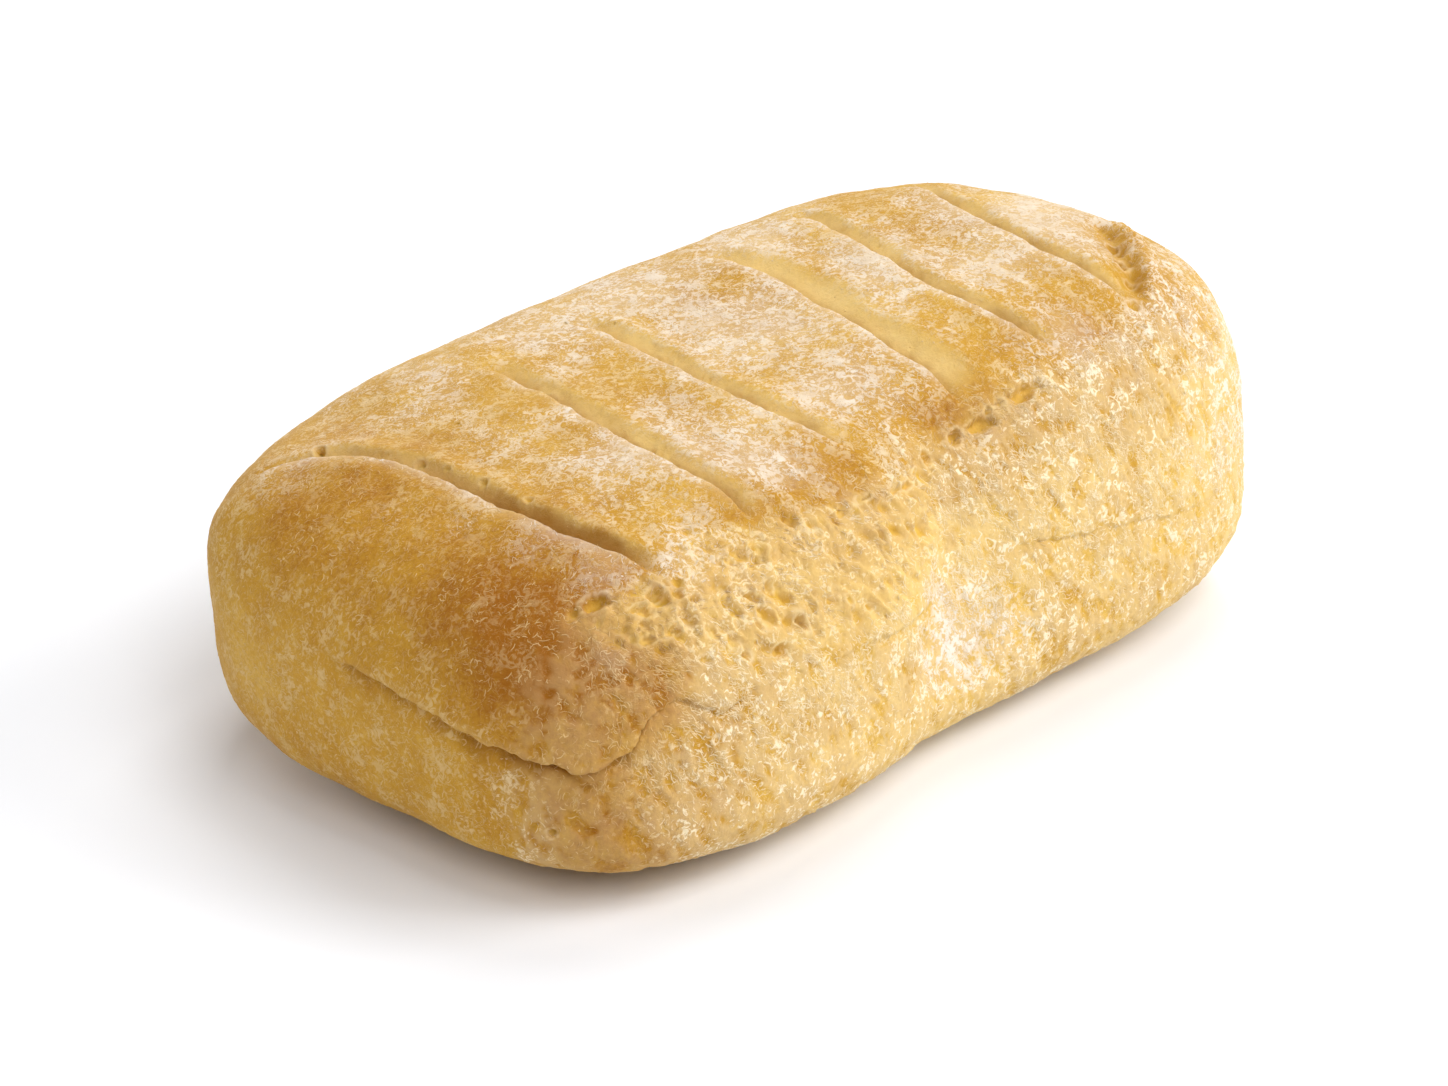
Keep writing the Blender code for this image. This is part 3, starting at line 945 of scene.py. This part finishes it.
def mesh_from(name, points, faces, shares=None, smooth=True):
    """A mesh from arrays: points in millimetres, faces with the same number of corners, values at points."""
    mesh = bpy.data.meshes.new(name)
    corners = faces.shape[1]
    mesh.vertices.add(len(points))
    mesh.vertices.foreach_set("co", (points * MM).astype(np.float32).ravel())
    mesh.loops.add(faces.size)
    mesh.loops.foreach_set("vertex_index", faces.astype(np.int32).ravel())
    mesh.polygons.add(len(faces))
    mesh.polygons.foreach_set("loop_start", np.arange(0, faces.size, corners, dtype=np.int32))
    mesh.update(calc_edges=True)
    if smooth:
        mesh.shade_smooth()
    else:
        mesh.shade_flat()
    for label, share in (shares or {}).items():
        layer = mesh.attributes.new(label, "FLOAT", "POINT")
        layer.data.foreach_set("value", share.astype(np.float32))
    return mesh


def thin(piece, triangles):
    """Collapses the flattest edges until that many triangles are left, and keeps the result."""
    quads = len(piece.data.polygons)
    modifier = piece.modifiers.new("thin", "DECIMATE")
    modifier.ratio = min(1.0, triangles / (2 * quads))
    graph = bpy.context.evaluated_depsgraph_get()
    finished = bpy.data.meshes.new_from_object(piece.evaluated_get(graph), depsgraph=graph)
    piece.modifiers.clear()
    old = piece.data
    piece.data = finished
    bpy.data.meshes.remove(old)
    finished.name = piece.name
    finished.shade_smooth()


def finish_piece(piece):
    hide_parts(NODE)
    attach(piece, BODY)


# ---------------------------------------------------------------- materials

CRUST = "wheat crust, baked and floured"
DUST = "dried dough and flour"
CRUST_GLOW = 0.25  # the share of the light that travels through crumb; thin strands and flour have none
BREAD_GLOW = (0.0012, 0.0010, 0.0007)  # how far red, green and blue light travel in crumb, in metres
SHARES = ("side", "flour", "torn", "floor", "pore", "crease", "relief_shading", "rim", "bake_light_and_shade")
# Patterns on the crust: size in mm, octaves after the first, how rough they are, how far they are warped
GRAINS = {
    "fine": (0.8, 2.0, 0.7, 0.0),
    "blotch": (8.0, 4.0, 0.7, 0.0),
    "streak": (3.2, 3.0, 0.6, 0.4),
    "curl": (2.0, 1.0, 0.55, 1.8),
    "long_curl": (3.2, 2.0, 0.55, 2.6),
    "patch": (5.0, 3.0, 0.6, 0.0),
    "clump": (5.0, 3.0, 0.6, 0.5),
    "speck": (1.7, 2.0, 0.6, 1.6),
}
STREAK_DRAW = (1.0, 1.0, 0.4)  # streaks are drawn out upwards
# Threads: pattern, width, where on a patch they start and are thickest on the ground, how strong they are
THREADS = (("curl", 0.055, 0.0, 0.07, 1.0), ("long_curl", 0.034, 0.02, -0.05, 0.8))
NODE_SETTINGS = {"MapRange": {"interpolation_type": "SMOOTHSTEP"}, "Mix": {"data_type": "RGBA"}}


def to_linear(code):
    """Linear red, green, blue and alpha of an sRGB hex code."""
    values = [int(code[n : n + 2], 16) / 255.0 for n in (1, 3, 5)]
    return [v / 12.92 if v <= 0.04045 else ((v + 0.055) / 1.055) ** 2.4 for v in values] + [1.0]


def add_node(tree, kind, *values, output=0, **settings):
    """Adds a node, gives it its settings, then sets or links its inputs in order. Returns one output.

    A kind in capitals is the operation of a Math node.
    """
    if kind.isupper():
        kind, settings = "Math", {"operation": kind}
    node = tree.nodes.new("ShaderNode" + kind)
    for name, value in (NODE_SETTINGS.get(kind, {}) | settings).items():
        setattr(node, name, value)
    sockets = [socket for socket in node.inputs if socket.enabled]
    for socket, value in zip(sockets, values):
        if isinstance(value, bpy.types.NodeSocket):
            tree.links.new(value, socket)
        else:
            socket.default_value = value
    return [socket for socket in node.outputs if socket.enabled][output]


def new_material(name, **values):
    """A Principled material with constant values on its own sockets."""
    material = bpy.data.materials.new(name)
    material.use_nodes = True
    shader = material.node_tree.nodes["Principled BSDF"]
    for key, value in values.items():
        shader.inputs[key.replace("_", " ")].default_value = value
    return material, material.node_tree, shader


def crust_material(colours, name, glow):
    """White-bread crust, baked pale and dusted with flour.

    Matt and slightly waxy: cream where it is barely set, golden to amber where it stood out to the heat and,
    as painted shade, on the -X end and its corner, smooth and moist looking on cut floors, with thin curled
    threads of dried dough and flour all over. Pores, creases and the hollows of the surface are painted
    darker, as painted shade, and its crests and rims paler, partly as painted highlight.
    Glow is the share of the light that travels through it. The strands, fibres and flour grains are told
    from the crust by their share of rim.
    """
    if name in bpy.data.materials:
        return bpy.data.materials[name]
    material, tree, shader = new_material(
        name,
        Roughness=0.62,
        IOR=1.45,
        Specular_IOR_Level=0.14,
        Subsurface_Weight=glow,
        Subsurface_Radius=BREAD_GLOW,
        Subsurface_Scale=1.0,
    )
    add = partial(add_node, tree)
    side, flour, torn, floor, pore, crease, relief_shading, rim, bake_light_and_shade = (
        add("Attribute", attribute_name=share, output=2) for share in SHARES
    )
    place = add("TexCoord", output=3)
    upright = add("VectorMath", place, STREAK_DRAW, operation="MULTIPLY")
    grains = {}
    for pattern, (size, detail, rough, warp) in GRAINS.items():
        where = upright if pattern == "streak" else place
        noise_value = add("TexNoise", where, 1.0 / (size * MM), detail, rough, 2.0, warp)
        grains[pattern] = add("SUBTRACT", noise_value, 0.5)

    # The crust itself: how brown it is, then bare crumb, pores and creases. The brownness carries the
    # browning share's painted shade and light; the crease colour is painted shade, and the pore colour partly
    # so
    # How brown, from the browning share: partly real browning, partly painted shade and light
    darkening = add("MapRange", bake_light_and_shade, 0.50, 0.75)
    for pattern, amount in (("blotch", 0.6), ("streak", add("MULTIPLY", side, 0.6)), ("fine", 0.5)):
        bake_light_and_shade = add("MULTIPLY_ADD", grains[pattern], amount, bake_light_and_shade)
    crumb = add("MAXIMUM", floor, add("MULTIPLY", torn, 0.2))
    # Low parts of the torn crumb take the pore colour: painted shade in its hollows
    low = add("MULTIPLY", torn, add("SUBTRACT", 1.0, relief_shading))
    colour = colours.pale[:]
    for amount, over in (
        (add("MapRange", bake_light_and_shade, 0.0, 0.50), colours.golden),
        (add("MapRange", bake_light_and_shade, 0.40, 1.05), colours.amber),
        (add("MULTIPLY", crumb, 0.85), colours.crumb),
        # Pore colour: crumb inside pores, and painted shade in the fold grooves, the puckered hollow and the
        # torn crumb's low parts
        (add("MULTIPLY", add("MAXIMUM", pore, low), 0.75), colours.pore),
        # Crease colour: painted shade in the cut crevices and the folds of the -X end
        (add("MULTIPLY", crease, 0.9), colours.crease),
    ):
        colour = add("Mix", amount, colour, over[:])

    # Curled threads in two sizes, where warped noise crosses its middle value: thick on the ground in
    # patches of about 5 mm, and scattered elsewhere
    bare = add("MULTIPLY_ADD", floor, -0.85, 1.0)
    plenty = add("MAXIMUM", side, add("MapRange", flour, 0.04, 0.30, 0.65, 1.0))
    sizes = []
    for pattern, width, start, full, most in THREADS:
        line = add("MapRange", add("ABSOLUTE", grains[pattern]), width, 0.0)
        sizes.append(add("MULTIPLY", line, add("MapRange", grains["patch"], start, full, 0.0, most)))
    threads = add("MAXIMUM", *sizes)
    fewer_on_side = add("MULTIPLY_ADD", side, -0.6, 1.0)
    for factor in (bare, fewer_on_side, plenty, add("MULTIPLY_ADD", darkening, -0.35, 0.96)):
        threads = add("MULTIPLY", threads, factor)

    # Powder and dried skin, in patches of all sizes: solid in the floury places, specks elsewhere
    powder = flour
    for pattern, amount in (("clump", 3.0), ("speck", 5.0)):
        powder = add("MULTIPLY_ADD", grains[pattern], amount, powder)
    powder = add("MapRange", powder, 0.0, 1.0)
    for factor in (bare, add("MULTIPLY_ADD", darkening, -0.45, 0.86)):
        powder = add("MULTIPLY", powder, factor)

    # Painted light and shade from the height of the surface: crests are painted paler than the golden hollows
    # between them, which stand in for shade, and rims are the palest
    cover = add("MULTIPLY", add("MAXIMUM", powder, threads), add("MULTIPLY_ADD", relief_shading, 1.15, 0.10))
    crest_highlight = add("MULTIPLY", add("MapRange", relief_shading, 0.62, 1.0), add("MULTIPLY", side, 0.30))
    for least in (add("MULTIPLY_ADD", flour, 0.60, -0.15), crest_highlight):
        cover = add("MAXIMUM", cover, least)
    # Pores, creases and torn crumb lose most of their cover, so that they stay dark golden: painted shade
    hollow = add("MAXIMUM", add("MAXIMUM", pore, crease), add("MULTIPLY", torn, 0.4))
    cover = add("MULTIPLY", cover, add("MULTIPLY_ADD", hollow, -0.75, 1.0))
    # Rims are the palest: partly pale crumb and flour, partly painted highlight along the edges
    cover = add("MAXIMUM", cover, add("MULTIPLY", rim, 0.85))
    light = add("Mix", side, colours.thread[:], colours.fibre[:])
    for amount, over in (
        (darkening, colours.thread),
        (add("MapRange", flour, 0.04, 0.50), colours.flour),
        (add("MULTIPLY", torn, 0.35), colours.crumb),
    ):
        light = add("Mix", amount, light, over[:])
    height = add("MULTIPLY_ADD", threads, 0.45, add("MULTIPLY", grains["fine"], 0.45))
    tree.links.new(add("Mix", cover, colour, light), shader.inputs["Base Color"])
    tree.links.new(add("Bump", 0.40, 0.0010, 0.1, height), shader.inputs["Normal"])
    return material


# ---------------------------------------------------------------- settings


def colour_property(name, code, description):
    return FloatVectorProperty(
        name=name, description=description, subtype="COLOR", size=4, min=0.0, max=1.0, default=to_linear(code)
    )


class LoafShape(bpy.types.PropertyGroup):
    """Sizes of the crust and of what lies on it, in millimetres unless they are shares or counts."""

    cell: FloatProperty(name="Cell", description="Grid cell before thinning, in mm", default=0.45, min=0.2)
    triangles: IntProperty(name="Triangles", description="Triangles left on the crust", default=196000)
    waist_depth: FloatProperty(name="Waist", description="Depth of the pinch, in mm", default=4.8)
    fold_bulge: FloatProperty(name="Fold bulge", description="Swelling above a fold, in mm", default=2.3)
    fold_crease: FloatProperty(name="Fold crease", description="Depth of the crease, in mm", default=1.3)
    cut_scale: FloatProperty(name="Cut depth", description="Share of each cut's depth", default=1.2)
    pore_scale: FloatProperty(name="Pore depth", description="Share of each pore's depth", default=1.0)
    pit_scale: FloatProperty(name="Pit depth", description="Share of each large pit's depth", default=0.65)
    strands: IntProperty(name="Strands", description="Curled strands on the crust", default=10800, min=10)
    strand_length: FloatProperty(name="Strand length", description="Middle length, in mm", default=1.9)
    fibres: IntProperty(name="Fibres", description="Pulled fibres on the -Y side", default=10800, min=10)
    fibre_length: FloatProperty(name="Fibre length", description="Middle length, in mm", default=2.2)
    thickness: FloatProperty(name="Thickness", description="Strands and fibres, in mm", default=0.25)
    grains: IntProperty(name="Grains", description="Grains of flour", default=5000, min=10)
    grain_size: FloatProperty(name="Grain size", description="Middle radius, in mm", default=0.24)


class LoafColours(bpy.types.PropertyGroup):
    """Colours of the loaf."""

    pale: colour_property("Pale crust", "#E0B75A", "Crust that is barely set")
    # Golden and amber also stand for painted shade on the -X end and its corner, where the browning share is
    # raised
    golden: colour_property("Golden crust", "#C2912F", "Crust of the top and the near end")
    amber: colour_property("Amber crust", "#985C0E", "The most browned crust")
    crumb: colour_property("Crumb", "#EFD18C", "Cut floors and torn crumb")
    # Pore colour: partly the crumb's own colour in pores, partly painted shade in hollows and fold grooves
    pore: colour_property("Pore", "#DBB046", "Inside of pores")
    # Crease colour: painted shade, the lips' shadow in the cuts and the shade in the folds of the -X end
    crease: colour_property("Crease", "#A06A14", "Inside of creases and cuts")
    flour: colour_property("Flour", "#EADFCF", "Dusted flour")
    thread: colour_property("Thread", "#DCBE88", "Dried dough threads away from the flour")
    fibre: colour_property("Fibre", "#EFE0BE", "Threads and fibres of the torn side")


class LoafStage(bpy.types.PropertyGroup):
    """Floor, lights and camera."""

    floor: colour_property("Floor", "#F1F2F5", "Plain pale floor")
    light: FloatProperty(name="Light", description="Share of the studio lights' power", default=1.0)
    world: FloatProperty(name="Surroundings", description="Strength of the even light", default=0.12)
    lens: FloatProperty(name="Lens", description="Focal length on a 36 mm sensor, in mm", default=72.1)


# ---------------------------------------------------------------- operators

SKINS = {}


def covering(name, mesh_parts, context):
    """A piece of small things that lie on the crust."""
    mesh = mesh_from(name, *mesh_parts, smooth=False)
    finish_piece(link_piece(mesh, name, crust_material(context.scene.loaf_colours, DUST, 0.0)))


def crust_skin():
    if "crust" not in SKINS:
        raise RuntimeError("make the crust first: the strands and grains lie on it")
    return SKINS["crust"]


class LOAF_OT_crust(bpy.types.Operator):
    """Makes the crust as one closed surface in place of the plain solid"""

    bl_idname = "loaf.crust"
    bl_label = "Crust"

    def execute(self, context):
        shape = context.scene.loaf_shape
        grid = [round(2.0 * size / shape.cell) for size in (HALF_LENGTH, HALF_WIDTH, HALF_HEIGHT)]
        points, sheets, quads, shares = crust_form(*grid, shape)
        box_middle = (np.array(CAD_LOW) + np.array(CAD_HIGH)) / 2.0 / MM
        middle = (points.min(axis=0) + points.max(axis=0)) / 2.0
        points[:, :2] += (box_middle - middle)[:2]
        material = crust_material(context.scene.loaf_colours, CRUST, CRUST_GLOW)
        crust = link_piece(mesh_from("crust", points, quads, shares), "crust", material)
        thin(crust, shape.triangles)
        finish_piece(crust)
        SKINS["crust"] = Skin(points, point_normals(points, quads), sheets, shares)
        return {"FINISHED"}


class LOAF_OT_strands(bpy.types.Operator):
    """Lays curled strands of dried dough all over the crust"""

    bl_idname = "loaf.strands"
    bl_label = "Dough strands"

    def execute(self, context):
        skin, shape = crust_skin(), context.scene.loaf_shape
        shares, (x, _, z) = skin.shares, skin.points.T
        clustered = smooth_step(0.45 + 1.3 * noise(skin.points, 6.0, 101)) + 0.10
        weight = clustered * (0.6 + 0.3 * shares["bake_light_and_shade"]) * (shares["floor"] < 0.15)
        weight *= (1.0 - 0.8 * shares["pore"]) * rise(z, 4.0, 16.0)
        weight *= (1.0 - 0.5 * shares["side"] * rise(x, -90.0, -60.0)) * (1.0 - 0.35 * rise(x, 55.0, 75.0))
        size = (shape.strands, shape.strand_length, shape.thickness)
        covering("dough_strands", strand_mesh(skin, weight, *size, curl=3.0, pull=0.0, seed=5), context)
        return {"FINISHED"}


class LOAF_OT_fibres(bpy.types.Operator):
    """Lays pulled fibres of crumb over the torn side"""

    bl_idname = "loaf.fibres"
    bl_label = "Crumb fibres"

    def execute(self, context):
        skin, shape = crust_skin(), context.scene.loaf_shape
        shares, (x, _, z) = skin.shares, skin.points.T
        clustered = smooth_step(0.4 + 1.5 * fractal(skin.points, 6.0, 2, 102)) + 0.04
        weight = clustered * shares["side"] * (1.0 - 0.5 * shares["torn"]) * (shares["floor"] < 0.15)
        weight *= (1.0 - 0.9 * shares["pore"]) * rise(z, 12.0, 37.0)
        weight *= rise(x, -104.0, -78.0) * (1.0 - 0.35 * rise(x, 55.0, 75.0))
        size = (shape.fibres, shape.fibre_length, shape.thickness)
        covering("crumb_fibres", strand_mesh(skin, weight, *size, curl=2.4, pull=0.7, seed=6), context)
        return {"FINISHED"}


class LOAF_OT_flour(bpy.types.Operator):
    """Scatters grains of flour over the floury places"""

    bl_idname = "loaf.flour"
    bl_label = "Flour"

    def execute(self, context):
        skin, shape = crust_skin(), context.scene.loaf_shape
        clustered = smooth_step(0.4 + 1.2 * noise(skin.points, 3.5, 103))
        weight = clustered * (0.05 + skin.shares["flour"] ** 1.5) * rise(skin.points[:, 2], 4.0, 16.0)
        covering("flour_grains", grain_mesh(skin, weight, shape.grains, shape.grain_size, seed=7), context)
        return {"FINISHED"}


FLOOR_HALF = 5000.0
SENSOR_WIDTH = 36.0
VIEW_AZIMUTH = math.radians(-44.39)
VIEW_ELEVATION = math.radians(25.0)
VIEW_DISTANCE = 0.5806
VIEW_AIM = (-0.0184, -0.0091, 0.035)
LIGHT_DISTANCE = 2.5
LIGHT_SIZE = 1.25
# Soft boxes: degrees round from the viewer's right towards the back, degrees up, power in watts
LIGHTS = {
    "right": (0.0, 32.0, 33.5),
    "right_high": (-35.0, 60.0, 21.5),
    "front_high": (-75.0, 42.0, 20.0),
    "back_high": (75.0, 60.0, 22.0),
    "back_low": (108.0, 15.0, 18.0),
    "left_low": (180.0, 27.0, 16.5),
}


def view_direction(azimuth, elevation):
    """Unit direction from the loaf to a viewer: azimuth 0 stands at -Y, and 90 degrees at +X."""
    flat = math.cos(elevation)
    return Vector((math.sin(azimuth) * flat, -math.cos(azimuth) * flat, math.sin(elevation)))


def soft_box(name, round_from_right, up, power):
    """A square area light on a sphere round the loaf, facing it."""
    light = bpy.data.lights.new(name, "AREA")
    light.size = LIGHT_SIZE
    light.energy = power
    lamp = bpy.data.objects.new(name, light)
    bpy.context.scene.collection.objects.link(lamp)
    away = view_direction(VIEW_AZIMUTH + math.radians(90.0 + round_from_right), math.radians(up))
    lamp.location = away * LIGHT_DISTANCE
    lamp.rotation_euler = away.to_track_quat("Z", "Y").to_euler()
    lamp.visible_camera = False


class LOAF_OT_stage(bpy.types.Operator):
    """Makes the pale floor, the soft studio lights and the camera"""

    bl_idname = "loaf.stage"
    bl_label = "Stage"

    def execute(self, context):
        stage = context.scene.loaf_stage
        look = {"Base_Color": stage.floor[:], "Roughness": 0.9, "Specular_IOR_Level": 0.1}
        material = new_material("matt white paper sweep", **look)[0]
        corners = FLOOR_HALF * np.array(((-1, -1, 0), (1, -1, 0), (1, 1, 0), (-1, 1, 0)))
        floor = link_piece(mesh_from("floor", corners, np.array(((0, 1, 2, 3),))), "floor", material)
        for name, (round_from_right, up, power) in LIGHTS.items():
            soft_box(name, round_from_right, up, power * stage.light)
        world = bpy.data.worlds.new("even light")
        world.use_nodes = True
        world.node_tree.nodes["Background"].inputs["Strength"].default_value = stage.world
        world.node_tree.nodes["Background"].inputs["Color"].default_value = (1.0, 1.0, 1.0, 1.0)
        context.scene.world = world
        context.scene.view_settings.view_transform = "Standard"
        data = bpy.data.cameras.new("camera")
        data.lens = stage.lens
        data.sensor_width = SENSOR_WIDTH
        data.clip_start = 0.01
        camera = bpy.data.objects.new("camera", data)
        context.scene.collection.objects.link(camera)
        back = view_direction(VIEW_AZIMUTH, VIEW_ELEVATION)
        camera.location = Vector(VIEW_AIM) + back * VIEW_DISTANCE
        camera.rotation_euler = back.to_track_quat("Z", "Y").to_euler()
        context.scene.camera = camera
        return {"FINISHED"}


class LOAF_PT_panel(bpy.types.Panel):
    """Lists the loaf's settings and the steps that build it"""

    bl_label = "Short Baguette Loaf"
    bl_idname = "LOAF_PT_panel"
    bl_space_type = "VIEW_3D"
    bl_region_type = "UI"
    bl_category = "Loaf"

    def draw(self, context):
        for group in (context.scene.loaf_shape, context.scene.loaf_colours, context.scene.loaf_stage):
            box = self.layout.box()
            for name in group.bl_rna.properties.keys():
                if name not in ("rna_type", "name"):
                    box.prop(group, name)
        for step in STEPS:
            self.layout.operator(step.bl_idname)


STEPS = (LOAF_OT_crust, LOAF_OT_strands, LOAF_OT_fibres, LOAF_OT_flour, LOAF_OT_stage)
GROUPS = {"loaf_shape": LoafShape, "loaf_colours": LoafColours, "loaf_stage": LoafStage}


def register():
    for item in (*GROUPS.values(), *STEPS, LOAF_PT_panel):
        bpy.utils.register_class(item)
    for name, group in GROUPS.items():
        setattr(bpy.types.Scene, name, PointerProperty(type=group))


def unregister():
    for name in GROUPS:
        delattr(bpy.types.Scene, name)
    for item in (LOAF_PT_panel, *reversed(STEPS), *reversed(GROUPS.values())):
        bpy.utils.unregister_class(item)


def main():
    register()
    bpy.ops.loaf.crust()
    bpy.ops.loaf.strands()
    bpy.ops.loaf.fibres()
    bpy.ops.loaf.flour()
    bpy.ops.loaf.stage()


if __name__ == "__main__":
    main()
